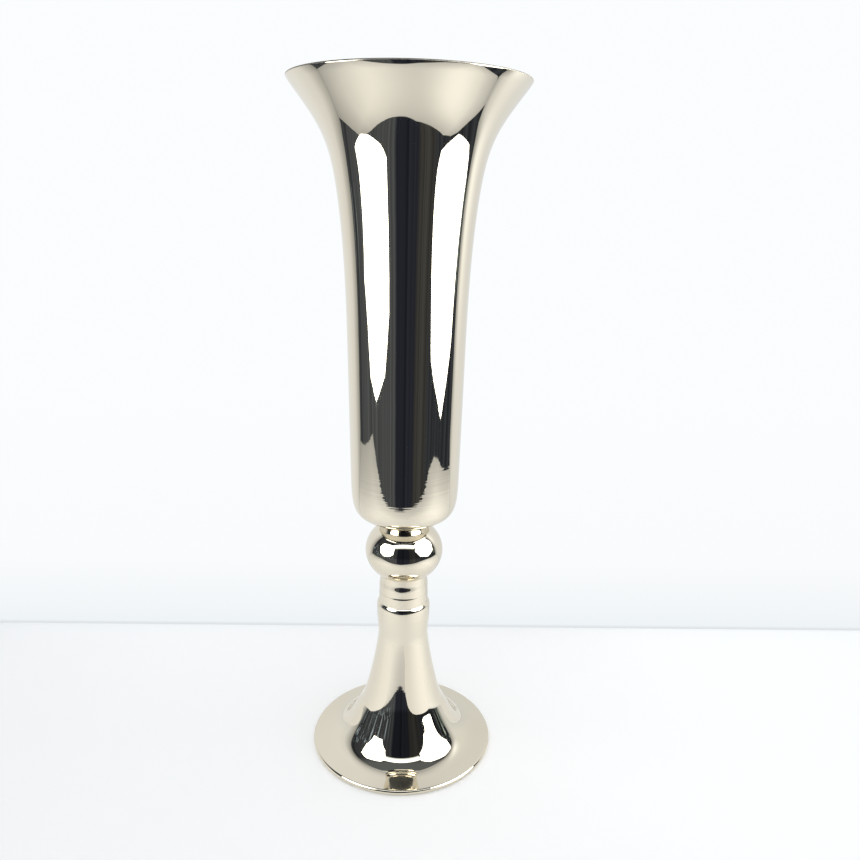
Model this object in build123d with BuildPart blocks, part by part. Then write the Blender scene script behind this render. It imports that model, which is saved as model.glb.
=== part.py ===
"""Trumpet vase of polished, nickel-plated spun sheet.

A tall flared bowl stands on a neck ring, a ball knop, a stem collar and a bell foot. One threaded
rod on the axis draws the stack together: a cap nut on a rubber seal inside the bowl, and a plain
nut with washers up inside the foot. Millimetres, +Z up, origin on the table under the foot's centre.
"""
import os
from math import acos, asin, atan, cos, degrees, radians, sin, sqrt, tan

from build123d import *

# Sheet and play
bowl_sheet = 0.9
knop_sheet = 0.9
collar_sheet = 0.9
foot_sheet = 1.0
rod_hole_play = 0.3
thread_play = 0.05
cut_overrun = 2.0

# Bell foot: rolled edge, conical flange, concave bell, waist and rounded bead under a flat top
foot_height = 99.8
foot_diameter = 115.2
foot_edge_height = 3.4
foot_hem_width = 3.5
flange_rise = 12.5
flange_inner_diameter = 98.0
bell_knee_diameter = 52.6
bell_knee_height = 29.15
bell_knee_lean = -29.0
waist_diameter = 31.2
waist_height = 78.5
bead_diameter = 32.9
bead_height = 91.8
foot_top_diameter = 30.6
shoulder_lean = -50.0
bell_lower_shares = (0.325, 0.58)
bell_upper_shares = (0.171, 0.174)
bead_lower_shares = (0.4, 0.4)
bead_upper_shares = (0.45, 0.25)

# Stem collar: a drawn cup with two soft steps
collar_height = 18.2
collar_low_diameter = 30.24
collar_mid_diameter = 30.0
collar_top_diameter = 29.34
collar_low_step_height = 5.8
collar_low_step_rise = 1.9
collar_high_step_height = 10.5
collar_high_step_rise = 5.0

# Ball knop: an ellipsoid cut flat at the collar, with a rounded shoulder to the flat under the neck ring
knop_diameter = 47.4
knop_ball_height = 40.2
knop_top_rise = 15.2
knop_shoulder_diameter = 33.6
knop_flat_diameter = 28.4
knop_shoulder_shares = (0.31, 0.28)

# Neck ring: a turned ring with a hollow side that flares out under the bowl
neck_diameter = 25.6
neck_top_diameter = 35.0
neck_height = 6.3
neck_edge_height = 0.2
neck_foot_lean = 2.0
neck_top_lean = 66.0
neck_shares = (0.55, 0.35)

# Trumpet bowl: flat floor, soft corner, long straight wall, two-stage flare, slightly upturned lip
bowl_height = 244.7
rim_diameter = 128.4
corner_diameter = 64.6
corner_height = 29.3
floor_lean = 84.0
wall_lean = 1.1
wall_top_height = 76.7
flare_knee_diameter = 80.2
flare_knee_height = 196.7
flare_knee_lean = 10.0
rim_lean = 37.2
lip_lean = 29.0
lip_radius = 28.0
corner_shares = (0.432, 0.68)
flare_lower_shares = (0.3, 0.29)
flare_upper_shares = (0.42, 0.41)

# Tie rod and its fastenings
rod_diameter = 6.0
rod_tail = 5.0
rod_end_chamfer = 0.6
nut_flats = 10.0
nut_height = 5.0
nut_crown = 30.0
cap_nut_hex_height = 5.5
cap_nut_dome_diameter = 9.4
cap_nut_neck_height = 1.3
cap_nut_bore_depth = 8.0
rod_end_room = 0.8
bowl_washer_diameter = 18.0
bowl_washer_thickness = 1.6
bowl_seal_diameter = 22.0
bowl_seal_thickness = 2.0
foot_washer_diameter = 24.0
foot_washer_thickness = 1.5
spring_washer_diameter = 11.8
spring_washer_thickness = 1.6
spring_washer_gap = 1.2
spring_washer_slant = 20.0

# Kinds of span in an outline, beside the shares of a curve
LINE = "line"
ARC = "arc"

# Heights of the seats, worked up from the table
rod_hole_radius = rod_diameter / 2 + rod_hole_play
thread_radius = rod_diameter / 2 + thread_play
knop_low_angle = degrees(acos(collar_top_diameter / knop_diameter))
knop_low_height = knop_ball_height / 2 * sin(radians(knop_low_angle))
knop_height = knop_low_height + knop_top_rise
collar_seat = foot_height
knop_seat = collar_seat + collar_height
neck_seat = knop_seat + knop_height
bowl_seat = neck_seat + neck_height
vase_height = bowl_seat + bowl_height
bowl_seal_seat = bowl_seat + bowl_sheet
bowl_washer_seat = bowl_seal_seat + bowl_seal_thickness
cap_nut_seat = bowl_washer_seat + bowl_washer_thickness
foot_washer_seat = foot_height - foot_sheet - foot_washer_thickness
spring_washer_seat = foot_washer_seat - spring_washer_thickness
foot_nut_seat = spring_washer_seat - nut_height
rod_bottom = foot_nut_seat - rod_tail
rod_top = cap_nut_seat + cap_nut_bore_depth - rod_end_room


def axial_plane(height):
    """Half-section plane through the axis: local x is the radius, local y the height above a seat."""
    return Plane(origin=(0, 0, height), x_dir=(1, 0, 0), z_dir=(0, -1, 0))


def heading(lean):
    """Direction in the half section that leans outwards from straight up by some degrees."""
    return Vector(sin(radians(lean)), cos(radians(lean)))


def spun_curve(start, start_lean, end, end_lean, handle_shares):
    """Cubic outline between two points, tangent to a lean at each; handles are shares of the chord."""
    chord = (end - start).length
    start_handle = start + heading(start_lean) * (chord * handle_shares[0])
    end_handle = end - heading(end_lean) * (chord * handle_shares[1])
    return Bezier(start, start_handle, end_handle, end)


def inset(station, depth):
    """A station's point moved in through the sheet, square to it, or along the mitre at a corner."""
    point, lean_before, lean_after = station
    before = heading(lean_before - 90)
    after = heading(lean_after - 90)
    return Vector(*point) + (before + after) * (depth / (1 + before.dot(after)))


def spun_side(stations, spans, depth):
    """One side of a spun sheet through its stations; a span is LINE, ARC or a curve's handle shares."""
    for start, end, span in zip(stations, stations[1:], spans):
        start_point = inset(start, depth)
        end_point = inset(end, depth)
        if span == LINE:
            Line(start_point, end_point)
        elif span == ARC:
            TangentArc(start_point, end_point, tangent=heading(start[2]))
        else:
            spun_curve(start_point, start[2], end_point, end[1], span)


def spun_sheet(stations, spans, sheet):
    """Closed outline of a spun sheet: the outer side, the inner side and both cut edges."""
    spun_side(stations, spans, 0)
    spun_side(stations, spans, sheet)
    for edge in (stations[0], stations[-1]):
        Line(inset(edge, 0), inset(edge, sheet))


def ring(outer_diameter, bore_radius, thickness, seat):
    """Flat washer-like ring standing on a seat."""
    with BuildPart() as turned_ring:
        with BuildSketch(Plane.XY.offset(seat)):
            Circle(outer_diameter / 2)
            Circle(bore_radius, mode=Mode.SUBTRACT)
        extrude(amount=thickness)
    return turned_ring


# Bell foot, from the hem under its edge up over the bell to the rod hole
foot_edge_radius = foot_edge_height / 2
foot_edge_centre = foot_diameter / 2 - foot_edge_radius
flange_lean = flange_rise - 90
flange_edge = (
    foot_edge_centre + foot_edge_radius * sin(radians(flange_rise)),
    foot_edge_radius + foot_edge_radius * cos(radians(flange_rise)),
)
flange_inner_radius = flange_inner_diameter / 2
flange_inner_height = flange_edge[1] + (flange_edge[0] - flange_inner_radius) * tan(radians(flange_rise))
foot_stations = (
    ((foot_edge_centre - foot_hem_width, 0), 90, 90),
    ((foot_edge_centre, 0), 90, 90),
    (flange_edge, flange_lean, flange_lean),
    ((flange_inner_radius, flange_inner_height), flange_lean, flange_lean),
    ((bell_knee_diameter / 2, bell_knee_height), bell_knee_lean, bell_knee_lean),
    ((waist_diameter / 2, waist_height), 0, 0),
    ((bead_diameter / 2, bead_height), 0, 0),
    ((foot_top_diameter / 2, foot_height), shoulder_lean, -90),
    ((rod_hole_radius, foot_height), -90, -90),
)
foot_spans = (
    LINE, ARC, LINE, bell_lower_shares, bell_upper_shares, bead_lower_shares, bead_upper_shares, LINE
)
with BuildPart() as bell_foot:
    with BuildSketch(axial_plane(0)):
        with BuildLine():
            spun_sheet(foot_stations, foot_spans, foot_sheet)
        make_face()
    revolve(axis=Axis.Z)

# Stem collar, open below, with a flat top that the rod centres
collar_low_radius = collar_low_diameter / 2
collar_mid_radius = collar_mid_diameter / 2
collar_top_radius = collar_top_diameter / 2
with BuildPart() as stem_collar:
    with BuildSketch(axial_plane(collar_seat)):
        with BuildLine():
            Polyline(
                (collar_low_radius, 0),
                (collar_low_radius, collar_low_step_height),
                (collar_mid_radius, collar_low_step_height + collar_low_step_rise),
                (collar_mid_radius, collar_high_step_height),
                (collar_top_radius, collar_high_step_height + collar_high_step_rise),
                (collar_top_radius, collar_height),
                (rod_hole_radius, collar_height),
            )
            offset(amount=collar_sheet, side=Side.LEFT)
        make_face()
    revolve(axis=Axis.Z)

# Ball knop, hollow, with flat ends
knop_shoulder_angle = degrees(acos(knop_shoulder_diameter / knop_diameter))
knop_shoulder_lean = -degrees(atan(knop_diameter / knop_ball_height * tan(radians(knop_shoulder_angle))))
knop_inner_half = knop_ball_height / 2 - knop_sheet
knop_inner_angle = degrees(asin((knop_low_height - knop_sheet) / knop_inner_half))
with BuildPart() as knop_ball:
    with BuildSketch(axial_plane(knop_seat)):
        with BuildLine():
            ball = EllipticalCenterArc(
                (0, knop_low_height),
                knop_diameter / 2,
                knop_ball_height / 2,
                start_angle=-knop_low_angle,
                arc_size=knop_low_angle + knop_shoulder_angle,
            )
            hollow = EllipticalCenterArc(
                (0, knop_low_height),
                knop_diameter / 2 - knop_sheet,
                knop_inner_half,
                start_angle=-knop_inner_angle,
                arc_size=knop_inner_angle + knop_shoulder_angle,
            )
            flat_edge = Vector(knop_flat_diameter / 2, knop_height)
            hollow_edge = flat_edge - Vector(0, knop_sheet)
            spun_curve(ball @ 1, knop_shoulder_lean, flat_edge, -90, knop_shoulder_shares)
            spun_curve(hollow @ 1, knop_shoulder_lean, hollow_edge, -90, knop_shoulder_shares)
            Polyline(ball @ 0, (rod_hole_radius, 0), (rod_hole_radius, knop_sheet), hollow @ 0)
            Polyline(
                flat_edge,
                (rod_hole_radius, knop_height),
                (rod_hole_radius, knop_height - knop_sheet),
                hollow_edge,
            )
        make_face()
    revolve(axis=Axis.Z)

# Neck ring between the ball and the bowl
neck_top_radius = neck_top_diameter / 2
neck_foot = Vector(neck_diameter / 2, 0)
neck_flare = Vector(neck_top_radius, neck_height - neck_edge_height)
with BuildPart() as neck_ring:
    with BuildSketch(axial_plane(neck_seat)):
        with BuildLine():
            spun_curve(neck_foot, neck_foot_lean, neck_flare, neck_top_lean, neck_shares)
            Polyline(
                neck_flare,
                (neck_top_radius, neck_height),
                (rod_hole_radius, neck_height),
                (rod_hole_radius, 0),
                neck_foot,
            )
        make_face()
    revolve(axis=Axis.Z)

# Trumpet bowl, from the rod hole in its floor up to the lip
corner_radius = corner_diameter / 2
wall_top_radius = corner_radius + (wall_top_height - corner_height) * tan(radians(wall_lean))
lip_start = (
    rim_diameter / 2 - lip_radius * (cos(radians(lip_lean)) - cos(radians(rim_lean))),
    bowl_height - lip_radius * (sin(radians(rim_lean)) - sin(radians(lip_lean))),
)
bowl_stations = (
    ((rod_hole_radius, 0), 90, 90),
    ((neck_top_radius, 0), 90, floor_lean),
    ((corner_radius, corner_height), wall_lean, wall_lean),
    ((wall_top_radius, wall_top_height), wall_lean, wall_lean),
    ((flare_knee_diameter / 2, flare_knee_height), flare_knee_lean, flare_knee_lean),
    (lip_start, rim_lean, rim_lean),
    ((rim_diameter / 2, bowl_height), lip_lean, -lip_lean),
)
bowl_spans = (LINE, corner_shares, LINE, flare_lower_shares, flare_upper_shares, ARC)
with BuildPart() as trumpet_bowl:
    with BuildSketch(axial_plane(bowl_seat)):
        with BuildLine():
            spun_sheet(bowl_stations, bowl_spans, bowl_sheet)
        make_face()
    revolve(axis=Axis.Z)

# Tie rod on the axis
with BuildPart() as tie_rod:
    with BuildSketch(Plane.XY.offset(rod_bottom)):
        Circle(rod_diameter / 2)
    extrude(amount=rod_top - rod_bottom)
    chamfer(tie_rod.edges().filter_by(GeomType.CIRCLE), rod_end_chamfer)

# Rubber seal and washer on the bowl's floor, washer under the foot's top
bowl_seal = ring(bowl_seal_diameter, thread_radius, bowl_seal_thickness, bowl_seal_seat)
bowl_washer = ring(bowl_washer_diameter, rod_hole_radius, bowl_washer_thickness, bowl_washer_seat)
foot_washer = ring(foot_washer_diameter, rod_hole_radius, foot_washer_thickness, foot_washer_seat)

# Spring washer: a ring split by one slanted gap
with BuildPart() as spring_washer:
    with BuildSketch(Plane.XY.offset(spring_washer_seat)):
        Circle(spring_washer_diameter / 2)
        Circle(rod_hole_radius, mode=Mode.SUBTRACT)
    extrude(amount=spring_washer_thickness)
    gap_plane = axial_plane(spring_washer_seat + spring_washer_thickness / 2)
    with BuildSketch(gap_plane):
        Rectangle(spring_washer_gap, spring_washer_thickness + cut_overrun, rotation=spring_washer_slant)
    extrude(amount=spring_washer_diameter / 2 + cut_overrun, mode=Mode.SUBTRACT)

# Foot nut: a hexagon whose corners are turned off to a shallow crown
nut_corner_radius = nut_flats / sqrt(3)
nut_crown_drop = (nut_corner_radius - nut_flats / 2) * tan(radians(nut_crown))
with BuildPart() as foot_nut:
    with BuildSketch(Plane.XY.offset(foot_nut_seat)):
        RegularPolygon(nut_flats / 2, 6, major_radius=False)
        Circle(thread_radius, mode=Mode.SUBTRACT)
    extrude(amount=nut_height)
    with BuildSketch(axial_plane(foot_nut_seat)):
        Polygon(
            (0, 0),
            (nut_flats / 2, 0),
            (nut_corner_radius, nut_crown_drop),
            (nut_corner_radius, nut_height),
            (0, nut_height),
            align=None,
        )
    revolve(axis=Axis.Z, mode=Mode.INTERSECT)

# Cap nut in the bowl: hexagon under a short neck and a closed dome, blind bore from below
cap_nut_dome_centre = cap_nut_hex_height + cap_nut_neck_height
with BuildPart() as bowl_nut:
    with BuildSketch(Plane.XY.offset(cap_nut_seat)):
        RegularPolygon(nut_flats / 2, 6, major_radius=False)
    extrude(amount=cap_nut_hex_height)
    with BuildSketch(axial_plane(cap_nut_seat)):
        with BuildLine():
            dome = CenterArc((0, cap_nut_dome_centre), cap_nut_dome_diameter / 2, 0, 90)
            Polyline(dome @ 1, (0, 0), (cap_nut_dome_diameter / 2, 0), dome @ 0)
        make_face()
    revolve(axis=Axis.Z)
    with BuildSketch(Plane.XY.offset(cap_nut_seat)):
        Circle(thread_radius)
    extrude(amount=cap_nut_bore_depth, mode=Mode.SUBTRACT)

pieces = {
    "trumpet_bowl": trumpet_bowl,
    "neck_ring": neck_ring,
    "knop_ball": knop_ball,
    "stem_collar": stem_collar,
    "bell_foot": bell_foot,
    "tie_rod": tie_rod,
    "bowl_nut": bowl_nut,
    "bowl_washer": bowl_washer,
    "bowl_seal": bowl_seal,
    "foot_washer": foot_washer,
    "spring_washer": spring_washer,
    "foot_nut": foot_nut,
}
os.makedirs("parts", exist_ok=True)
for name, piece in pieces.items():
    piece.part.label = name
    export_step(piece.part, f"parts/{name}.step")
print(f"vase height {vase_height:.1f} mm, mouth {rim_diameter:.1f} mm, foot {foot_diameter:.1f} mm")
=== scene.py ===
"""Trumpet vase of polished nickel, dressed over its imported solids. Metres, +Z up, origin under the foot."""

import math

import bmesh
import bpy
from mathutils import Matrix, Vector


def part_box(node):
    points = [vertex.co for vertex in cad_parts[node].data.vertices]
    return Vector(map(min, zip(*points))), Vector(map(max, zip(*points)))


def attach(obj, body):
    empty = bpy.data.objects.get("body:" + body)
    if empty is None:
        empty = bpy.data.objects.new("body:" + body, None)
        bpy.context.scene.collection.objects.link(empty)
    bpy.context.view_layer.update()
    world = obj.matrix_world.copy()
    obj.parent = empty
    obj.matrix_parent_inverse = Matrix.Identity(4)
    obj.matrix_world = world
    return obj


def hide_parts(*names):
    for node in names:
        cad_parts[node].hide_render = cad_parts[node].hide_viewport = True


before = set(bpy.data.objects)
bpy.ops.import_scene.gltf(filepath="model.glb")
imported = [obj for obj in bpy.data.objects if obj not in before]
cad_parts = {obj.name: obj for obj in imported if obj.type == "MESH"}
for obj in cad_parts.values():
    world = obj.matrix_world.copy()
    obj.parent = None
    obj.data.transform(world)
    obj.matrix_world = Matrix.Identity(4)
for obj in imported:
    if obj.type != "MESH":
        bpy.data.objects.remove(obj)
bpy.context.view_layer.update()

MM = 0.001

# Sheet thickness of the spun shells
BOWL_SHEET = 0.9 * MM
KNOP_SHEET = 0.9 * MM
COLLAR_SHEET = 0.9 * MM
FOOT_SHEET = 1.0 * MM

# Bell foot
FOOT_EDGE_HEIGHT = 3.4 * MM
FOOT_HEM_WIDTH = 3.5 * MM
FLANGE_RISE = 12.5
FLANGE_INNER_RADIUS = 49.0 * MM
BELL_KNEE_RADIUS = 26.3 * MM
BELL_KNEE_HEIGHT = 29.15 * MM
BELL_KNEE_LEAN = -29.0
WAIST_RADIUS = 15.6 * MM
WAIST_HEIGHT = 78.5 * MM
BEAD_RADIUS = 16.45 * MM
BEAD_HEIGHT = 91.8 * MM
FOOT_TOP_RADIUS = 15.3 * MM
SHOULDER_LEAN = -50.0
BELL_LOWER_SHARES = (0.325, 0.58)
BELL_UPPER_SHARES = (0.171, 0.174)
BEAD_LOWER_SHARES = (0.15, 0.15)
BEAD_UPPER_SHARES = (0.45, 0.25)

# Stem collar
COLLAR_LOW_RADIUS = 15.2 * MM
COLLAR_MID_RADIUS = 15.05 * MM
COLLAR_TOP_RADIUS = 14.67 * MM
COLLAR_LOW_STEP = (5.9 * MM, 7.3 * MM)
COLLAR_HIGH_STEP = (10.5 * MM, 15.5 * MM)

# Ball knop
KNOP_HALF_HEIGHT = 20.1 * MM
KNOP_TOP_RISE = 15.2 * MM
KNOP_SHOULDER_RADIUS = 16.8 * MM
KNOP_FLAT_RADIUS = 14.2 * MM
KNOP_SHOULDER_SHARES = (0.31, 0.28)

# Neck ring
NECK_RADIUS = 12.8 * MM
NECK_TOP_RADIUS = 17.5 * MM
NECK_HEIGHT = 6.3 * MM
NECK_EDGE = 0.2 * MM
NECK_FOOT_LEAN = 2.0
NECK_TOP_LEAN = 66.0
NECK_SHARES = (0.55, 0.35)

# Trumpet bowl
CORNER_RADIUS = 32.3 * MM
CORNER_HEIGHT = 29.3 * MM
FLOOR_LEAN = 84.0
BOWL_WALL_LEAN = 1.1
BOWL_WALL_TOP = 76.7 * MM
FLARE_KNEE_RADIUS = 40.1 * MM
FLARE_KNEE_HEIGHT = 196.7 * MM
FLARE_KNEE_LEAN = 10.0
RIM_LEAN = 37.2
LIP_LEAN = 29.0
LIP_RADIUS = 28.0 * MM
CORNER_SHARES = (0.432, 0.68)
FLARE_LOWER_SHARES = (0.3, 0.29)
FLARE_UPPER_SHARES = (0.42, 0.41)

# Rod thread
ROD_HOLE_RADIUS = 3.3 * MM
THREAD_PITCH = 1.0 * MM
THREAD_DEPTH = 0.55 * MM
THREAD_FLANK_SLOPE = 1.4
THREAD_ROOT_SHARE = 0.2

# Mesh density
POINT_SPACING = 1.0 * MM
COLLAR_SPACING = 0.25 * MM
TURN_STEPS = 160
EDGE_STEPS = 10
ARC_STEP = math.radians(6)
THREAD_TURN_STEPS = 36
THREAD_ROWS = 6
SHARP_ANGLE = math.radians(38)

# Stretches of an outline that aren't cubic curves
LINE = "line"
ARC = "arc"

# Sides of a shell, which are also the slots of their materials
OUTER = 0
INNER = 1
EDGE = 2

# Finishes: pairs of tones, roughness from smooth to hazy, and depths of ripples, lines and dents
NICKEL = (0.765, 0.71, 0.59)
WARM_NICKEL = (0.75, 0.69, 0.565)
PALE_NICKEL = (0.80, 0.77, 0.70)
SATIN_TONES = ((0.62, 0.58, 0.50), (0.58, 0.54, 0.45))
CUT_TONES = ((0.50, 0.47, 0.40), (0.42, 0.39, 0.33))
ZINC_TONES = ((0.60, 0.62, 0.66), (0.64, 0.62, 0.55))
RUBBER_TONES = ((0.018, 0.018, 0.019), (0.045, 0.044, 0.042))
MIRROR_ROUGHNESS = (0.02, 0.05)
SATIN_ROUGHNESS = (0.16, 0.30)
CUT_ROUGHNESS = (0.45, 0.6)
ZINC_ROUGHNESS = (0.26, 0.42)
RUBBER_ROUGHNESS = (0.55, 0.75)
MIRROR_MARKS = (0.0025 * MM, 0.0001 * MM, 0.05 * MM)
TOOLED_MARKS = (0.004 * MM, 0.002 * MM, 0.0)
ZINC_GRAIN = 0.03 * MM
ZINC_GRAIN_SHARE = 0.4
RUBBER_GRAIN = 0.05 * MM
RUBBER_GRAIN_SHARE = 0.5

# Coarse tool rings low on the bowl, and the heights over which they die out
WORKED_DEPTH = 0.05 * MM
WORKED_ZONE = (170.0 * MM, 196.0 * MM)

# Kinds of noise as scale, detail and roughness, and parts of its range
TINT_NOISE = (18.0, 2.0, 0.5)
PATCH_NOISE = (34.0, 5.0, 0.6)
DENT_NOISE = (55.0, 1.0, 0.5)
RING_NOISE = (380.0, 2.0, 0.5)
LINE_NOISE = (3400.0, 2.0, 0.6)
BLOOM_NOISE = (260.0, 3.0, 0.5)
ZINC_NOISE = (900.0, 4.0, 0.6)
RUBBER_NOISE = (1400.0, 4.0, 0.6)
TABLE_NOISE = (6.0, 3.0, 0.5)
STREAK_NOISE = (9.0, 3.0, 0.6)
PANE_NOISE = (16.0, 4.0, 0.7)
NOISE_MIDDLE = (0.35, 0.65)
NOISE_WIDE = (0.3, 0.7)
NOISE_UPPER = (0.4, 0.75)
SECTION_SLANT = -0.6

# Camera of the photograph, from the fit of the outline
CAMERA_DISTANCE = 442.18 * MM
CAMERA_HEIGHT = 338.97 * MM
CAMERA_YAW = math.radians(1.867)
CAMERA_PITCH = math.radians(16.257)
CAMERA_ROLL = math.radians(1.24)
CAMERA_CLIP = 10.0 * MM
FOCAL_PIXELS = 781.59
IMAGE_SIZE = 860
SENSOR_WIDTH = 36.0

# White table: its corners, painted shade across and to the front of its mirror image, painted light brighter
# to one side in the camera's view, and painted pools of light on it
TABLE_CORNERS = (
    (-0.63, -0.25), (-0.42, -0.30), (-0.159, -0.305), (-0.033, -0.317), (0.06, -0.345), (0.40, -0.354),
    (0.50, -0.29), (0.535, -0.20), (0.535, 0.1313), (-0.63, 0.1419),
)
TABLE_PAINTS = ((0.985, 0.99, 1.0), (1.0, 1.0, 1.0))
TABLE_SHADE = (0.98, 0.98, 0.98, 1)
TABLE_ROUGHNESS = 0.8
TABLE_MIRROR_PAINTED_SHADE = (
    (-0.68, 0.48), (-0.5, 0.72), (-0.4, 0.92), (-0.27, 0.98), (0.42, 0.98), (0.5, 0.76), (0.56, 0.58),
)
TABLE_FRONT = (-0.36, -0.18)
TABLE_FRONT_PAINTED_SHADE = (0.65, 1.0)
TABLE_GLOW = 0.045
TABLE_SIDES = (-0.25, 0.2)
TABLE_SIDE_PAINTED_LIGHT = (0.0, 0.05)
TABLE_PAINTED_POOLS = (((-0.2, -0.14, 0), 0.26, 0.20), ((0.25, -0.10, 0), 0.25, 0.36))

# White wall behind it: painted shade that darkens it down to the joint, with a painted shadow line at the
# joint, painted shade across and to the top of its mirror image, and a painted pool of light in it
WALL_ENDS = ((-0.68, 0.1424), (0.645, 0.1303))
WALL_TOP = 1.2
WALL_JOINT_PAINTED_SHADOW = (0.745, 0.776, 0.80)
WALL_PAINTED_SHADE = (
    (0.0, WALL_JOINT_PAINTED_SHADOW), (0.0012, WALL_JOINT_PAINTED_SHADOW), (0.003, (0.86, 0.90, 0.925)), (0.02, (0.90, 0.925, 0.94)),
    (0.06, (0.95, 0.968, 0.98)), (0.2, (0.962, 0.98, 0.995)),
)
WALL_MIRROR_PAINTED_SHADE = (
    (-0.68, 0.34), (-0.5, 0.54), (-0.4, 0.68), (-0.3, 0.90), (-0.18, 0.97), (-0.05, 0.93), (0.1, 0.87),
    (0.22, 0.95), (0.34, 0.95), (0.42, 0.88), (0.5, 0.66), (0.645, 0.42),
)
WALL_UPPER = (0.35, 0.75)
WALL_UPPER_PAINTED_SHADE = (1.0, 0.6)
WALL_PAINTED_POOLS = (((0.37, 0.133, 0.33), 0.2, 0.42),)

# Curled edges of a white sheet on the table, as degrees round the vase and millimetres up
CURL_RADIUS = 0.20
CURL_RIGHT = (
    (3, 6), (6, 18), (13.5, 24), (20, 32), (28, 41), (36, 45), (45, 44), (54, 40), (63, 33), (71, 23),
    (82, 4),
)
CURL_LEFT = (
    (-122, 5), (-114, 12), (-106, 19), (-98, 25), (-93, 29), (-88, 37), (-84, 40), (-79, 37), (-68, 28),
    (-58, 24), (-49, 19), (-38, 8),
)
# The curls glow with painted light: the table's painted pools stretched over them, on an even painted level
CURL_REACH = (1.08, 1.08, 0)
CURL_PAINTED_LIGHT = 0.92

# Dark room on the camera's side, by degrees round the vase, with streaks of window light
ROOM_RADIUS = 2.4
ROOM_HALF_TURN = 124.0
ROOM_LOWEST = -60.0
ROOM_COLUMNS = 48
ROOM_ROWS = 30
NAVY = (0.021, 0.024, 0.038)
DUSK = (0.034, 0.039, 0.05)
STONE = (0.058, 0.059, 0.06)
SLATE = (0.083, 0.093, 0.108)
ROOM_TONES = (
    (-124, DUSK), (-85, SLATE), (-24, SLATE), (-18, NAVY), (13, NAVY), (19, STONE), (34, STONE), (44, DUSK),
    (124, DUSK),
)
ROOM_STREAKS = (0.65, 1.35)
ROOM_DIM_BAND = (-0.05, 0.1)
ROOM_DIM_LEVELS = (1.0, 0.55)
CEILING_BAND = (0.8 * ROOM_RADIUS, 0.9 * ROOM_RADIUS)
CEILING_TONE = (0.127, 0.142, 0.157, 1)
UNLIT = (0.0, 0.0, 0.0)
COOL_PANE = (0.45, 0.56, 0.68)
GREEN_PANE = (0.56, 0.70, 0.66)
WINDOW_TONES = (
    (-124, UNLIT), (-104, COOL_PANE), (-40, COOL_PANE), (-26, UNLIT),
    (82, UNLIT), (94, GREEN_PANE), (112, GREEN_PANE), (124, UNLIT),
)
WINDOW_RISE = (-0.14, -0.02)
WINDOW_TOP = (0.75, 0.95)
PANE_DRAW = 0.12
PANE_EDGES = (0.53, 0.64)

# Studio lights
SOFTBOX_STRENGTH = 5.0
SOFTBOX_LEFT = {
    "azimuth": -53.0, "distance": 0.3077, "height": 0.2347, "yaw": -6.5, "tilt": -39.0,
    "half": 0.1223, "roll": 17.4, "cut": 1.068,
}
SOFTBOX_RIGHT = {
    "azimuth": 70.9, "distance": 0.4037, "height": 0.3409, "yaw": -13.0, "tilt": -12.8,
    "half": 0.2405, "roll": 25.1, "cut": 0.979,
}
PANEL_HEIGHT = 0.535
PANEL_NEAR = -0.315
PANEL_FAR = -0.469
PANEL_HALF_WIDTH = 0.312
PANEL_SLOPE = 0.24
PANEL_FADE = 0.07
PANEL_STRENGTHS = (0.5, 2.5)
PANEL_TONE = (0.92, 0.97, 1.0, 1)
SKY_TONE = (0.965, 0.985, 1.0, 1)

# Sockets of Blender's colour mixing node, which share their names with others
MIX_FIRST = 6
MIX_SECOND = 7
MIX_RESULT = 2


def extent(node):
    """Lowest height, highest height and radius of a round CAD node."""
    low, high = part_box(node)
    return low[2], high[2], high[0]


# Section outlines of the spun shells
def heading(lean):
    """Direction in the half section that leans outwards from straight up by some degrees."""
    return Vector((math.sin(math.radians(lean)), math.cos(math.radians(lean))))


def inset(station, depth):
    """A station's point moved in through the sheet, square to it, or along the mitre at a corner."""
    point, lean_before, lean_after = station
    before = heading(lean_before - 90)
    after = heading(lean_after - 90)
    return Vector(point) + (before + after) * (depth / (1 + before.dot(after)))


def steps_for(start, end):
    """Number of steps along a stretch."""
    return max(EDGE_STEPS, math.ceil((end - start).length / POINT_SPACING))


def spun_curve(start, start_lean, end, end_lean, shares):
    """Points of a cubic outline, tangent to a lean at each end; handles are shares of the chord."""
    chord = (end - start).length
    first = start + heading(start_lean) * (chord * shares[0])
    last = end - heading(end_lean) * (chord * shares[1])
    points = []
    count = steps_for(start, end)
    for i in range(count):
        t = i / count
        u = 1 - t
        points.append(start * u**3 + first * (3 * t * u**2) + last * (3 * t**2 * u) + end * t**3)
    return points


def tangent_arc(start, lean, end):
    """Points of the arc that leaves start along a lean and ends at end."""
    along = heading(lean)
    side = Vector((along.y, -along.x))
    chord = end - start
    radius = chord.length_squared / (2 * chord.dot(side))
    centre = start + side * radius
    sweep = 2 * math.atan2(chord.dot(side), chord.dot(along))
    count = max(EDGE_STEPS, math.ceil(abs(sweep) / ARC_STEP))
    points = []
    for i in range(count):
        turn = sweep * i / count
        points.append(centre - side * (radius * math.cos(turn)) + along * (radius * math.sin(turn)))
    return points


def spun_side(stations, spans, depth):
    """Points along one side of a spun sheet, through its stations."""
    points = []
    for start, end, span in zip(stations, stations[1:], spans):
        a = inset(start, depth)
        b = inset(end, depth)
        if span == LINE:
            count = steps_for(a, b)
            points += [a.lerp(b, i / count) for i in range(count)]
        elif span == ARC:
            points += tangent_arc(a, start[2], b)
        else:
            points += spun_curve(a, start[2], b, end[1], span)
    return points + [inset(stations[-1], depth)]


def turned_edge(end, lean, sheet):
    """Points of the round edge that closes a sheet ending at a lean, from its outer to its inner side."""
    centre = end + heading(lean - 90) * (sheet / 2)
    turns = (lean + 90 - 180 * i / EDGE_STEPS for i in range(1, EDGE_STEPS))
    return [centre + heading(turn) * (sheet / 2) for turn in turns]


# Meshes
def finished(name, mesh):
    """An object in the scene for a mesh."""
    piece = bpy.data.objects.new(name, mesh)
    bpy.context.scene.collection.objects.link(piece)
    return piece


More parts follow.
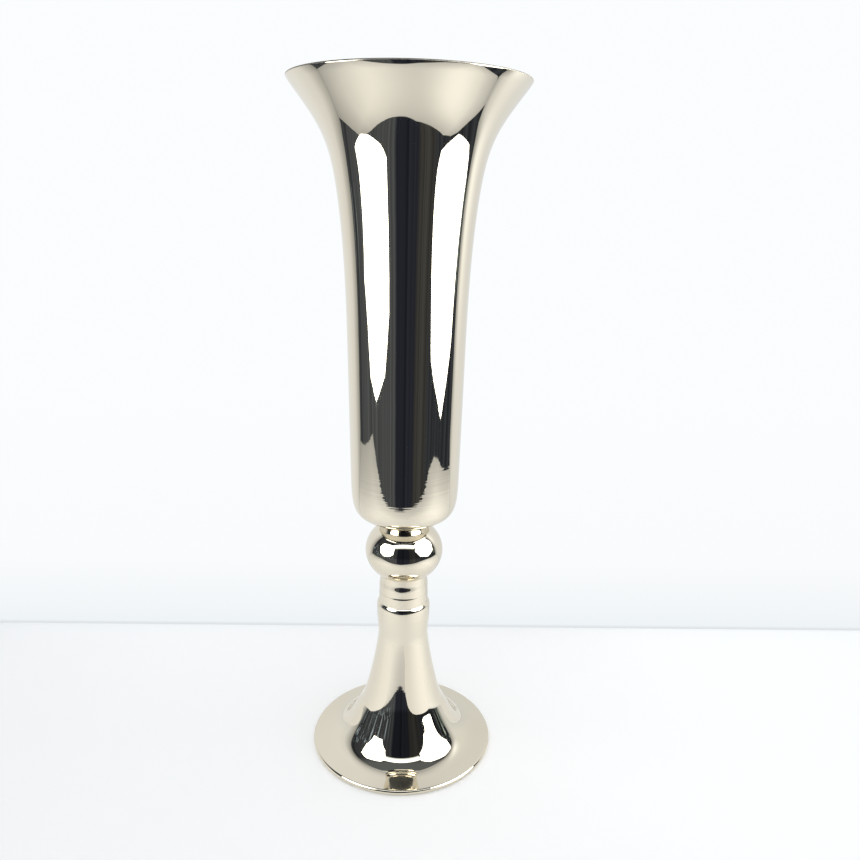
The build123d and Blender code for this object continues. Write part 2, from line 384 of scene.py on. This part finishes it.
def lathe(name, outer, inner, lift=0.0, edge=()):
    """Closed body of revolution from the outer side, the edge and the inner side of its section."""
    loop = [*outer, *edge, *reversed(inner)]
    count = len(loop)
    split = len(outer)
    verts = []
    for i in range(TURN_STEPS):
        turn = 2 * math.pi * i / TURN_STEPS
        verts += [(p.x * math.cos(turn), p.x * math.sin(turn), p.y + lift) for p in loop]
    faces = []
    sides = []
    for i in range(TURN_STEPS):
        here = i * count
        there = (i + 1) % TURN_STEPS * count
        for j in range(count):
            k = (j + 1) % count
            faces.append((here + j, there + j, there + k, here + k))
            on_edge = edge and j < split + len(edge)
            sides.append(OUTER if j < split - 1 else EDGE if on_edge else INNER)
    mesh = bpy.data.meshes.new(name)
    mesh.from_pydata(verts, [], faces)
    mesh.polygons.foreach_set("material_index", sides)
    tidy_normals(mesh)
    return finished(name, mesh)


def tidy_normals(mesh):
    """Faces turned outwards, smooth apart from real edges."""
    work = bmesh.new()
    work.from_mesh(mesh)
    bmesh.ops.recalc_face_normals(work, faces=work.faces)
    work.to_mesh(mesh)
    work.free()
    mesh.polygons.foreach_set("use_smooth", [True] * len(mesh.polygons))
    mesh.set_sharp_from_angle(angle=SHARP_ANGLE)
    mesh.update()


def build_bowl():
    """Spun bowl, from the rod hole in its floor to its lip."""
    _, top, rim = extent("trumpet_bowl")
    seat = knop_centre() + KNOP_TOP_RISE + NECK_HEIGHT
    wall_height = BOWL_WALL_TOP - CORNER_HEIGHT
    wall_top_radius = CORNER_RADIUS + wall_height * math.tan(math.radians(BOWL_WALL_LEAN))
    half = BOWL_SHEET / 2
    lip = Vector((rim - half, top - seat - half)) + heading(LIP_LEAN + 90) * half
    lip_start = lip - (heading(LIP_LEAN + 90) - heading(RIM_LEAN + 90)) * LIP_RADIUS
    stations = (
        ((ROD_HOLE_RADIUS, 0), 90, 90),
        ((NECK_TOP_RADIUS, 0), 90, FLOOR_LEAN),
        ((CORNER_RADIUS, CORNER_HEIGHT), BOWL_WALL_LEAN, BOWL_WALL_LEAN),
        ((wall_top_radius, BOWL_WALL_TOP), BOWL_WALL_LEAN, BOWL_WALL_LEAN),
        ((FLARE_KNEE_RADIUS, FLARE_KNEE_HEIGHT), FLARE_KNEE_LEAN, FLARE_KNEE_LEAN),
        (lip_start, RIM_LEAN, RIM_LEAN),
        (lip, LIP_LEAN, LIP_LEAN),
    )
    spans = (LINE, CORNER_SHARES, LINE, FLARE_LOWER_SHARES, FLARE_UPPER_SHARES, ARC)
    outer = spun_side(stations, spans, 0)
    inner = spun_side(stations, spans, BOWL_SHEET)
    return lathe("bowl_shell", outer, inner, seat, turned_edge(lip, LIP_LEAN, BOWL_SHEET))


def build_foot():
    """Spun bell, from the hem under its edge to the rod hole in its top."""
    seat, top, edge = extent("bell_foot")
    height = top - seat
    edge_radius = FOOT_EDGE_HEIGHT / 2
    edge_centre = edge - edge_radius
    rise = math.radians(FLANGE_RISE)
    flange_lean = FLANGE_RISE - 90
    flange_edge = (edge_centre + edge_radius * math.sin(rise), edge_radius + edge_radius * math.cos(rise))
    flange_inner_height = flange_edge[1] + (flange_edge[0] - FLANGE_INNER_RADIUS) * math.tan(rise)
    stations = (
        ((edge_centre - FOOT_HEM_WIDTH, 0), 90, 90),
        ((edge_centre, 0), 90, 90),
        (flange_edge, flange_lean, flange_lean),
        ((FLANGE_INNER_RADIUS, flange_inner_height), flange_lean, flange_lean),
        ((BELL_KNEE_RADIUS, BELL_KNEE_HEIGHT), BELL_KNEE_LEAN, BELL_KNEE_LEAN),
        ((WAIST_RADIUS, WAIST_HEIGHT), 0, 0),
        ((BEAD_RADIUS, BEAD_HEIGHT), 0, 0),
        ((FOOT_TOP_RADIUS, height), SHOULDER_LEAN, -90),
        ((ROD_HOLE_RADIUS, height), -90, -90),
    )
    bell = (BELL_LOWER_SHARES, BELL_UPPER_SHARES)
    bead = (BEAD_LOWER_SHARES, BEAD_UPPER_SHARES)
    spans = (LINE, ARC, LINE, *bell, *bead, LINE)
    outer = spun_side(stations, spans, 0)
    inner = spun_side(stations, spans, FOOT_SHEET)
    return lathe("foot_shell", outer, inner, seat)


def soft_step(low, high, z):
    """0 below the step, 1 above it, eased between."""
    t = min(max((z - low) / (high - low), 0), 1)
    return t * t * (3 - 2 * t)


def build_collar():
    """Drawn collar with two soft steps and a closed top."""
    seat, top, _ = extent("stem_collar")
    height = top - seat
    count = math.ceil(height / COLLAR_SPACING)
    outer = []
    for i in range(count + 1):
        z = height * i / count
        r = COLLAR_LOW_RADIUS
        r += (COLLAR_MID_RADIUS - COLLAR_LOW_RADIUS) * soft_step(*COLLAR_LOW_STEP, z)
        r += (COLLAR_TOP_RADIUS - COLLAR_MID_RADIUS) * soft_step(*COLLAR_HIGH_STEP, z)
        outer.append(Vector((r, z)))
    inner = [Vector((p.x - COLLAR_SHEET, p.y)) for p in outer if p.y < height - COLLAR_SHEET]
    outer.append(Vector((ROD_HOLE_RADIUS, height)))
    inner.append(Vector((COLLAR_TOP_RADIUS - COLLAR_SHEET, height - COLLAR_SHEET)))
    inner.append(Vector((ROD_HOLE_RADIUS, height - COLLAR_SHEET)))
    return lathe("collar_shell", outer, inner, seat)


def knop_centre():
    """Height of the ball's widest level."""
    seat, _, radius = extent("knop_ball")
    return seat + KNOP_HALF_HEIGHT * math.sin(math.acos(COLLAR_TOP_RADIUS / radius))


def knop_side(radius, depth):
    """Points up one side of the ball, from its flat foot over the rounded shoulder to its flat top."""
    low = math.acos(COLLAR_TOP_RADIUS / radius)
    high = math.acos(KNOP_SHOULDER_RADIUS / radius)
    wide, half = radius - depth, KNOP_HALF_HEIGHT - depth
    foot = math.asin((KNOP_HALF_HEIGHT * math.sin(low) - depth) / half)
    count = 2 * math.ceil(KNOP_HALF_HEIGHT / POINT_SPACING)
    turns = [(foot + high) * i / count - foot for i in range(count + 1)]
    points = [Vector((wide * math.cos(t), half * math.sin(t))) for t in turns]
    lean = -math.degrees(math.atan2(wide * math.sin(high), half * math.cos(high)))
    flat = Vector((KNOP_FLAT_RADIUS, KNOP_TOP_RISE - depth))
    points += spun_curve(points.pop(), lean, flat, -90, KNOP_SHOULDER_SHARES)
    return [Vector((ROD_HOLE_RADIUS, points[0].y)), *points, flat, Vector((ROD_HOLE_RADIUS, flat.y))]


def build_knop():
    radius = extent("knop_ball")[2]
    return lathe("ball_shell", knop_side(radius, 0), knop_side(radius, KNOP_SHEET), knop_centre())


def build_neck():
    """Turned ring with a hollow side that flares out under the bowl."""
    seat = knop_centre() + KNOP_TOP_RISE
    foot = Vector((NECK_RADIUS, 0))
    flare = Vector((NECK_TOP_RADIUS, NECK_HEIGHT - NECK_EDGE))
    outer = [Vector((ROD_HOLE_RADIUS, 0))]
    outer += spun_curve(foot, NECK_FOOT_LEAN, flare, NECK_TOP_LEAN, NECK_SHARES)
    outer += [flare, Vector((NECK_TOP_RADIUS, NECK_HEIGHT))]
    return lathe("neck_band", outer, [Vector((ROD_HOLE_RADIUS, NECK_HEIGHT))], seat)


def build_rod():
    """Tie rod with its rolled thread."""
    bottom, top, radius = extent("tie_rod")
    rows = math.ceil((top - bottom) / (THREAD_PITCH / THREAD_ROWS))
    steps = THREAD_TURN_STEPS
    verts = []
    for j in range(rows + 1):
        z = bottom + (top - bottom) * j / rows
        lead_in = min(1.0, min(z - bottom, top - z) / THREAD_PITCH)
        for i in range(steps):
            turn = 2 * math.pi * i / steps
            phase = (z / THREAD_PITCH - i / steps) % 1.0
            ridge = THREAD_FLANK_SLOPE * (1 - abs(2 * phase - 1)) - THREAD_ROOT_SHARE
            r = radius - THREAD_DEPTH * (1 - min(1.0, max(0.0, ridge)) * lead_in)
            verts.append((r * math.cos(turn), r * math.sin(turn), z))
    faces = []
    for j in range(rows):
        for i in range(steps):
            k = (i + 1) % steps
            faces.append((j * steps + i, j * steps + k, (j + 1) * steps + k, (j + 1) * steps + i))
    faces.append(tuple(range(steps)))
    faces.append(tuple(rows * steps + i for i in range(steps)))
    mesh = bpy.data.meshes.new("threaded_rod")
    mesh.from_pydata(verts, [], faces)
    tidy_normals(mesh)
    return finished("threaded_rod", mesh)


# Materials
def add(tree, kind, inputs=None, **settings):
    """A node with its settings; an input is a plain value or another node's output."""
    made = tree.nodes.new(kind)
    for key, value in settings.items():
        setattr(made, key, value)
    for key, value in (inputs or {}).items():
        if isinstance(value, bpy.types.NodeSocket):
            tree.links.new(value, made.inputs[key])
        else:
            made.inputs[key].default_value = value
    return made


def new_material(name):
    material = bpy.data.materials.new(name)
    material.use_nodes = True
    return material, material.node_tree, material.node_tree.nodes["Principled BSDF"]


def object_place(tree):
    """Place on the object, in metres."""
    return add(tree, "ShaderNodeTexCoord").outputs["Object"]


def noise(tree, kind, vector=None, w=None):
    """Noise of a kind, in space or along one value."""
    inputs = dict(zip(("Scale", "Detail", "Roughness"), kind))
    if w is not None:
        return add(tree, "ShaderNodeTexNoise", {**inputs, "W": w}, noise_dimensions="1D").outputs["Fac"]
    return add(tree, "ShaderNodeTexNoise", {**inputs, "Vector": vector}).outputs["Fac"]


def mapped(tree, value, low, high, to_low, to_high):
    inputs = {"Value": value, "From Min": low, "From Max": high, "To Min": to_low, "To Max": to_high}
    return add(tree, "ShaderNodeMapRange", inputs).outputs["Result"]


def math_node(tree, operation, first, second):
    return add(tree, "ShaderNodeMath", {0: first, 1: second}, operation=operation).outputs[0]


def mixed(tree, kind, first, second, factor=1.0):
    """Two colours, mixed, multiplied or added."""
    inputs = {"Factor": factor, MIX_FIRST: first, MIX_SECOND: second}
    made = add(tree, "ShaderNodeMix", inputs, data_type="RGBA", blend_type=kind)
    return made.outputs[MIX_RESULT]


def blend(tree, factor, first, second):
    return mixed(tree, "MIX", (*first, 1), (*second, 1), factor)


def bump(tree, height, depth, normal=None, share=1.0):
    """Surface roughened by a height, on top of another roughening."""
    made = add(tree, "ShaderNodeBump", {"Strength": share, "Distance": depth, "Height": height})
    if normal is not None:
        tree.links.new(normal, made.inputs["Normal"])
    return made.outputs[0]


def along_section(tree, place):
    """Distance that grows along the section of any shell, so that marks run round the axis."""
    flat = add(tree, "ShaderNodeVectorMath", {0: place, 1: (1, 1, 0)}, operation="MULTIPLY").outputs[0]
    reach = add(tree, "ShaderNodeVectorMath", {0: flat}, operation="LENGTH").outputs["Value"]
    height = add(tree, "ShaderNodeSeparateXYZ", {0: place}).outputs["Z"]
    return math_node(tree, "ADD", height, math_node(tree, "MULTIPLY", reach, SECTION_SLANT))


def nickel(name, tones, roughness, marks, worked=0.0):
    """Plated, spun sheet: faint tool rings, soft dents, and coarser rings low on the bowl."""
    material, tree, shader = new_material(name)
    place = object_place(tree)
    height = add(tree, "ShaderNodeSeparateXYZ", {0: place}).outputs["Z"]
    along = along_section(tree, place)
    ripple, lines, dents = marks
    tint = mapped(tree, noise(tree, TINT_NOISE, place), *NOISE_MIDDLE, 0, 1)
    tree.links.new(blend(tree, tint, *tones), shader.inputs["Base Color"])
    shader.inputs["Metallic"].default_value = 1.0
    patches = noise(tree, PATCH_NOISE, place)
    tree.links.new(mapped(tree, patches, *NOISE_UPPER, *roughness), shader.inputs["Roughness"])
    ring_depth = mapped(tree, height, *WORKED_ZONE, ripple + worked, ripple)
    dented = bump(tree, noise(tree, DENT_NOISE, place), dents)
    ringed = bump(tree, noise(tree, RING_NOISE, w=along), ring_depth, dented)
    scored = bump(tree, noise(tree, LINE_NOISE, w=along), lines, ringed)
    tree.links.new(scored, shader.inputs["Normal"])
    return material


def zinc_steel():
    """Bright zinc on turned steel: cool grey with a faint yellow and blue bloom."""
    material, tree, shader = new_material("zinc_steel")
    place = object_place(tree)
    bloom = mapped(tree, noise(tree, BLOOM_NOISE, place), *NOISE_MIDDLE, 0, 1)
    tree.links.new(blend(tree, bloom, *ZINC_TONES), shader.inputs["Base Color"])
    shader.inputs["Metallic"].default_value = 1.0
    grain = noise(tree, ZINC_NOISE, place)
    tree.links.new(mapped(tree, grain, *NOISE_WIDE, *ZINC_ROUGHNESS), shader.inputs["Roughness"])
    tree.links.new(bump(tree, grain, ZINC_GRAIN, share=ZINC_GRAIN_SHARE), shader.inputs["Normal"])
    return material


def seal_rubber():
    material, tree, shader = new_material("seal_rubber")
    grain = noise(tree, RUBBER_NOISE, object_place(tree))
    tree.links.new(blend(tree, grain, *RUBBER_TONES), shader.inputs["Base Color"])
    tree.links.new(mapped(tree, grain, *NOISE_WIDE, *RUBBER_ROUGHNESS), shader.inputs["Roughness"])
    tree.links.new(bump(tree, grain, RUBBER_GRAIN, share=RUBBER_GRAIN_SHARE), shader.inputs["Normal"])
    return material


# Stage
def glowing(name):
    """A material that only gives off light."""
    material = bpy.data.materials.new(name)
    material.use_nodes = True
    tree = material.node_tree
    tree.nodes.clear()
    output = add(tree, "ShaderNodeOutputMaterial")
    glow = add(tree, "ShaderNodeEmission")
    tree.links.new(glow.outputs[0], output.inputs["Surface"])
    return material, tree, glow


def one_sided(tree, surface):
    """The surface's front; from behind it is not there, so that it never hides the vase."""
    back = add(tree, "ShaderNodeNewGeometry").outputs["Backfacing"]
    clear = add(tree, "ShaderNodeBsdfTransparent").outputs[0]
    mix = add(tree, "ShaderNodeMixShader", {0: back, 1: surface, 2: clear})
    tree.links.new(mix.outputs[0], tree.nodes["Material Output"].inputs["Surface"])


def card(name, verts, faces, material):
    mesh = bpy.data.meshes.new(name)
    mesh.from_pydata(verts, [], faces)
    mesh.materials.append(material)
    made = finished(name, mesh)
    return made


def only_mirrored(made):
    """Studio gear that only shows as a reflection."""
    made.visible_camera = False
    made.visible_diffuse = False
    made.visible_transmission = False
    made.visible_volume_scatter = False
    made.visible_shadow = False


def towards(turn, rise=0.0):
    """Direction from the vase, turned from the camera's side and raised."""
    return Vector((math.sin(turn) * math.cos(rise), -math.cos(turn) * math.cos(rise), math.sin(rise)))


def toned(tree, value, stops):
    """Colour that follows a value through stops of (value, grey or colour)."""
    low, high = stops[0][0], stops[-1][0]
    made = add(tree, "ShaderNodeValToRGB", {"Fac": mapped(tree, value, low, high, 0, 1)})
    ramp = made.color_ramp
    for _ in stops[2:]:
        ramp.elements.new(1)
    for element, (position, tone) in zip(ramp.elements, stops):
        element.position = (position - low) / (high - low)
        element.color = (*tone, 1) if isinstance(tone, tuple) else (tone, tone, tone, 1)
    return made.outputs["Color"]


def pooled(tree, place, pools):
    """Sum of soft round pools of light, each with a centre, a radius and a strength."""
    total = 0.0
    for centre, radius, strength in pools:
        apart = add(tree, "ShaderNodeVectorMath", {0: place, 1: centre}, operation="DISTANCE")
        reach = apart.outputs["Value"]
        limits = {"Value": reach, "From Min": 0, "From Max": radius, "To Min": strength, "To Max": 0}
        pool = add(tree, "ShaderNodeMapRange", limits, interpolation_type="SMOOTHSTEP").outputs["Result"]
        total = math_node(tree, "ADD", total, pool)
    return total


def table_colour(tree, place, across, mirrored):
    """White paint, with painted shade towards the ends and the front of its mirror image."""
    forward = add(tree, "ShaderNodeSeparateXYZ", {0: place}).outputs["Y"]
    front = mapped(tree, forward, *TABLE_FRONT, *TABLE_FRONT_PAINTED_SHADE)
    # Painted shade on the table's mirror image: darker towards the ends and the front
    mirror_painted_shade = mixed(tree, "MULTIPLY", toned(tree, across, TABLE_MIRROR_PAINTED_SHADE), front)
    painted_shade = mixed(tree, "MIX", TABLE_SHADE, mirror_painted_shade, mirrored)
    paint = blend(tree, noise(tree, TABLE_NOISE, place), *TABLE_PAINTS)
    return mixed(tree, "MULTIPLY", paint, painted_shade)


def build_table():
    """White table top, with a painted pool of light under each softbox in its mirror image, and painted light
    brighter to one side in the camera's view.
    """
    material, tree, shader = new_material("table_paint_and_painted_light")
    place = object_place(tree)
    across = add(tree, "ShaderNodeSeparateXYZ", {0: place}).outputs["X"]
    path = add(tree, "ShaderNodeLightPath").outputs
    mirrored = path["Is Glossy Ray"]
    tree.links.new(table_colour(tree, place, across, mirrored), shader.inputs["Base Color"])
    shader.inputs["Roughness"].default_value = TABLE_ROUGHNESS
    shader.inputs["Specular IOR Level"].default_value = 0.0
    # Painted pools of light, seen only in the mirror image
    pools = math_node(tree, "MULTIPLY", pooled(tree, place, TABLE_PAINTED_POOLS), mirrored)
    # Painted light: the table glows brighter towards +x in the camera's view
    side_painted_light = mapped(tree, across, *TABLE_SIDES, *TABLE_SIDE_PAINTED_LIGHT)
    seen = math_node(tree, "MULTIPLY", side_painted_light, path["Is Camera Ray"])
    lit = math_node(tree, "ADD", pools, seen)
    shader.inputs["Emission Color"].default_value = (1, 1, 1, 1)
    tree.links.new(math_node(tree, "ADD", lit, TABLE_GLOW), shader.inputs["Emission Strength"])
    one_sided(tree, shader.outputs[0])
    card("table", [(x, y, 0) for x, y in TABLE_CORNERS], [tuple(range(len(TABLE_CORNERS)))], material)


def build_wall():
    """White wall behind the table, a little darker down at the joint with painted shade, and with painted
    shade and a painted pool of light in its mirror image.
    """
    material, tree, glow = glowing("wall_paint_and_painted_light")
    place = object_place(tree)
    parts = add(tree, "ShaderNodeSeparateXYZ", {0: place})
    seen = add(tree, "ShaderNodeLightPath").outputs["Is Camera Ray"]
    # Painted shade across and to the top of the wall's mirror image, and a painted pool of light
    upper = mapped(tree, parts.outputs["Z"], *WALL_UPPER, *WALL_UPPER_PAINTED_SHADE)
    painted_shade = math_node(tree, "MULTIPLY", toned(tree, parts.outputs["X"], WALL_MIRROR_PAINTED_SHADE), upper)
    lit = math_node(tree, "ADD", painted_shade, pooled(tree, place, WALL_PAINTED_POOLS))
    # Painted shade darkening the wall down to the joint, with a painted shadow line at it
    tree.links.new(toned(tree, parts.outputs["Z"], WALL_PAINTED_SHADE), glow.inputs["Color"])
    tree.links.new(mapped(tree, seen, 0, 1, lit, 1), glow.inputs["Strength"])
    one_sided(tree, glow.outputs[0])
    left, right = WALL_ENDS
    corners = [(*left, 0), (*right, 0), (*right, WALL_TOP), (*left, WALL_TOP)]
    card("wall", corners, [(0, 1, 2, 3)], material)


def window_light(tree, turn, side, height):
    """Upright streaks of window light at the sides of the room."""
    drawn = math_node(tree, "MULTIPLY", height, PANE_DRAW)
    strip = add(tree, "ShaderNodeCombineXYZ", {"X": turn, "Y": drawn}).outputs[0]
    panes = mapped(tree, noise(tree, PANE_NOISE, strip), *PANE_EDGES, 0, 1)
    over_sill = mapped(tree, height, *WINDOW_RISE, 0, 1)
    under_head = mapped(tree, height, *WINDOW_TOP, 1, 0)
    opening = math_node(tree, "MULTIPLY", over_sill, under_head)
    shape = math_node(tree, "MULTIPLY", panes, opening)
    return mixed(tree, "MULTIPLY", toned(tree, side, WINDOW_TONES), shape)


def room_light(tree):
    """Nearly black ahead, dim grey to the sides, streaks of window light and a paler ceiling."""
    parts = add(tree, "ShaderNodeSeparateXYZ", {0: object_place(tree)})
    height = parts.outputs["Z"]
    ahead = math_node(tree, "MULTIPLY", parts.outputs["Y"], -1.0)
    turn = math_node(tree, "ARCTAN2", parts.outputs["X"], ahead)
    side = math_node(tree, "MULTIPLY", turn, math.degrees(1))
    streaks = mapped(tree, noise(tree, STREAK_NOISE, w=turn), *NOISE_MIDDLE, *ROOM_STREAKS)
    dim = mapped(tree, height, *ROOM_DIM_BAND, *ROOM_DIM_LEVELS)
    level = math_node(tree, "MULTIPLY", streaks, dim)
    dark = mixed(tree, "MULTIPLY", toned(tree, side, ROOM_TONES), level)
    lit = mixed(tree, "ADD", dark, window_light(tree, turn, side, height))
    return mixed(tree, "MIX", lit, CEILING_TONE, mapped(tree, height, *CEILING_BAND, 0, 1))


def build_room():
    """Unlit room round the camera, as a dome that is open behind the vase."""
    material, tree, glow = glowing("room_dark")
    tree.links.new(room_light(tree), glow.inputs["Color"])
    verts = []
    for j in range(ROOM_ROWS + 1):
        rise = math.radians(ROOM_LOWEST + (90 - ROOM_LOWEST) * j / ROOM_ROWS)
        for i in range(ROOM_COLUMNS + 1):
            turn = math.radians(ROOM_HALF_TURN * (2 * i / ROOM_COLUMNS - 1))
            verts.append(ROOM_RADIUS * towards(turn, rise))
    faces = []
    row = ROOM_COLUMNS + 1
    for j in range(ROOM_ROWS):
        for i in range(ROOM_COLUMNS):
            a = j * row + i
            faces.append((a, a + 1, a + row + 1, a + row))
    only_mirrored(card("room", verts, faces, material))


def build_curl(name, rises):
    """Edge of the white sheet on the table that curls up, glowing with painted light and painted pools of
    light; only its mirror image shows.
    """
    material, tree, glow = glowing(name)
    place = object_place(tree)
    spread = add(tree, "ShaderNodeVectorMath", {0: place, 1: CURL_REACH}, operation="MULTIPLY")
    # Painted light: the table's painted pools stretched over the curl, on an even painted glow
    lit = math_node(tree, "ADD", pooled(tree, spread.outputs[0], TABLE_PAINTED_POOLS), CURL_PAINTED_LIGHT)
    tree.links.new(lit, glow.inputs["Strength"])
    verts = []
    for azimuth, rise in rises:
        spot = CURL_RADIUS * towards(math.radians(azimuth))
        verts += [spot, spot + Vector((0, 0, rise * MM))]
    faces = [(i, i + 2, i + 3, i + 1) for i in range(0, len(verts) - 2, 2)]
    only_mirrored(card(name, verts, faces, material))


def build_softbox(name, azimuth, distance, height, yaw, tilt, half, roll, cut):
    """Octagonal light near the vase; degrees, and metres for its place and half width."""
    material, _, glow = glowing(name)
    glow.inputs["Strength"].default_value = SOFTBOX_STRENGTH
    azimuth, yaw, tilt, roll = (math.radians(v) for v in (azimuth, yaw, tilt, roll))
    centre = distance * towards(azimuth) + Vector((0, 0, height))
    face = azimuth + math.pi + yaw
    across = Vector((math.cos(face), math.sin(face), 0))
    up = towards(face, tilt).cross(across)
    reach = half * (cut * math.sqrt(2) - 1)
    verts = []
    for x, y in ((1, -1), (1, 1), (-1, 1), (-1, -1)):
        pair = [(x * half, y * reach), (x * reach, y * half)]
        for a, b in pair if x * y > 0 else reversed(pair):
            u = math.cos(roll) * a + math.sin(roll) * b
            v = -math.sin(roll) * a + math.cos(roll) * b
            verts.append(centre + across * u + up * v)
    only_mirrored(card(name, verts, [tuple(range(len(verts)))], material))


def build_top_panel():
    """Overhead light, weaker along its far side."""
    material, tree, glow = glowing("top_panel")
    forward = add(tree, "ShaderNodeSeparateXYZ", {0: object_place(tree)}).outputs["Y"]
    strength = mapped(tree, forward, PANEL_FAR, PANEL_FAR + PANEL_FADE, *PANEL_STRENGTHS)
    tree.links.new(strength, glow.inputs["Strength"])
    glow.inputs["Color"].default_value = PANEL_TONE
    far_height = PANEL_HEIGHT + PANEL_SLOPE * (PANEL_FAR - PANEL_NEAR)
    near_edge = [(side * PANEL_HALF_WIDTH, PANEL_NEAR, PANEL_HEIGHT) for side in (-1, 1)]
    far_edge = [(side * PANEL_HALF_WIDTH, PANEL_FAR, far_height) for side in (1, -1)]
    only_mirrored(card("top_panel", near_edge + far_edge, [(0, 1, 2, 3)], material))


def build_world():
    world = bpy.data.worlds.new("studio")
    bpy.context.scene.world = world
    world.use_nodes = True
    sky = world.node_tree.nodes["Background"]
    sky.inputs["Color"].default_value = SKY_TONE
    sky.inputs["Strength"].default_value = 1.0


def build_camera():
    data = bpy.data.cameras.new("camera")
    data.sensor_width = SENSOR_WIDTH
    data.lens = FOCAL_PIXELS * SENSOR_WIDTH / IMAGE_SIZE
    data.clip_start = CAMERA_CLIP
    camera = bpy.data.objects.new("camera", data)
    bpy.context.scene.collection.objects.link(camera)
    level = math.cos(CAMERA_PITCH)
    ahead = Vector((math.sin(CAMERA_YAW) * level, math.cos(CAMERA_YAW) * level, -math.sin(CAMERA_PITCH)))
    right = Vector((math.cos(CAMERA_YAW), -math.sin(CAMERA_YAW), 0))
    up = right.cross(ahead)
    x = math.cos(CAMERA_ROLL) * right + math.sin(CAMERA_ROLL) * up
    y = -math.sin(CAMERA_ROLL) * right + math.cos(CAMERA_ROLL) * up
    turned = Matrix((x, y, -ahead)).transposed().to_4x4()
    camera.matrix_world = Matrix.Translation((0, -CAMERA_DISTANCE, CAMERA_HEIGHT)) @ turned
    bpy.context.scene.camera = camera


def dress(piece, node, slot, *materials):
    """A piece that stands for a CAD node, with its finish."""
    for material in materials:
        piece.data.materials.append(material)
    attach(piece, "root")
    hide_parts(node)


def repaint(node, material):
    """A CAD node that stays, with a better finish."""
    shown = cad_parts[node]
    for slot in shown.material_slots:
        slot.material = material


plating = (NICKEL, WARM_NICKEL)
ring_plating = (PALE_NICKEL, NICKEL)
polished = nickel("polished_nickel", plating, MIRROR_ROUGHNESS, MIRROR_MARKS)
bowl_polished = nickel("bowl_nickel", plating, MIRROR_ROUGHNESS, MIRROR_MARKS, WORKED_DEPTH)
ring_polished = nickel("ring_nickel", ring_plating, MIRROR_ROUGHNESS, MIRROR_MARKS)
satin = nickel("satin_nickel", SATIN_TONES, SATIN_ROUGHNESS, TOOLED_MARKS)
cut_edge = nickel("cut_edge", CUT_TONES, CUT_ROUGHNESS, TOOLED_MARKS)
zinc = zinc_steel()
rubber = seal_rubber()

dress(build_bowl(), "trumpet_bowl", "nickel", bowl_polished, satin, cut_edge)
dress(build_foot(), "bell_foot", "nickel", polished, satin)
dress(build_knop(), "knop_ball", "nickel", polished, satin)
dress(build_collar(), "stem_collar", "nickel", polished, satin)
dress(build_neck(), "neck_ring", "nickel", ring_polished, satin)
dress(build_rod(), "tie_rod", "zinc_steel", zinc)
for name in ("bowl_nut", "bowl_washer"):
    repaint(name, polished)
for name in ("foot_washer", "spring_washer", "foot_nut"):
    repaint(name, zinc)
repaint("bowl_seal", rubber)

build_table()
build_wall()
build_room()
build_curl("curl_right", CURL_RIGHT)
build_curl("curl_left", CURL_LEFT)
build_softbox("softbox_left", **SOFTBOX_LEFT)
build_softbox("softbox_right", **SOFTBOX_RIGHT)
build_top_panel()
build_world()
build_camera()
bpy.context.scene.view_settings.view_transform = "Standard"
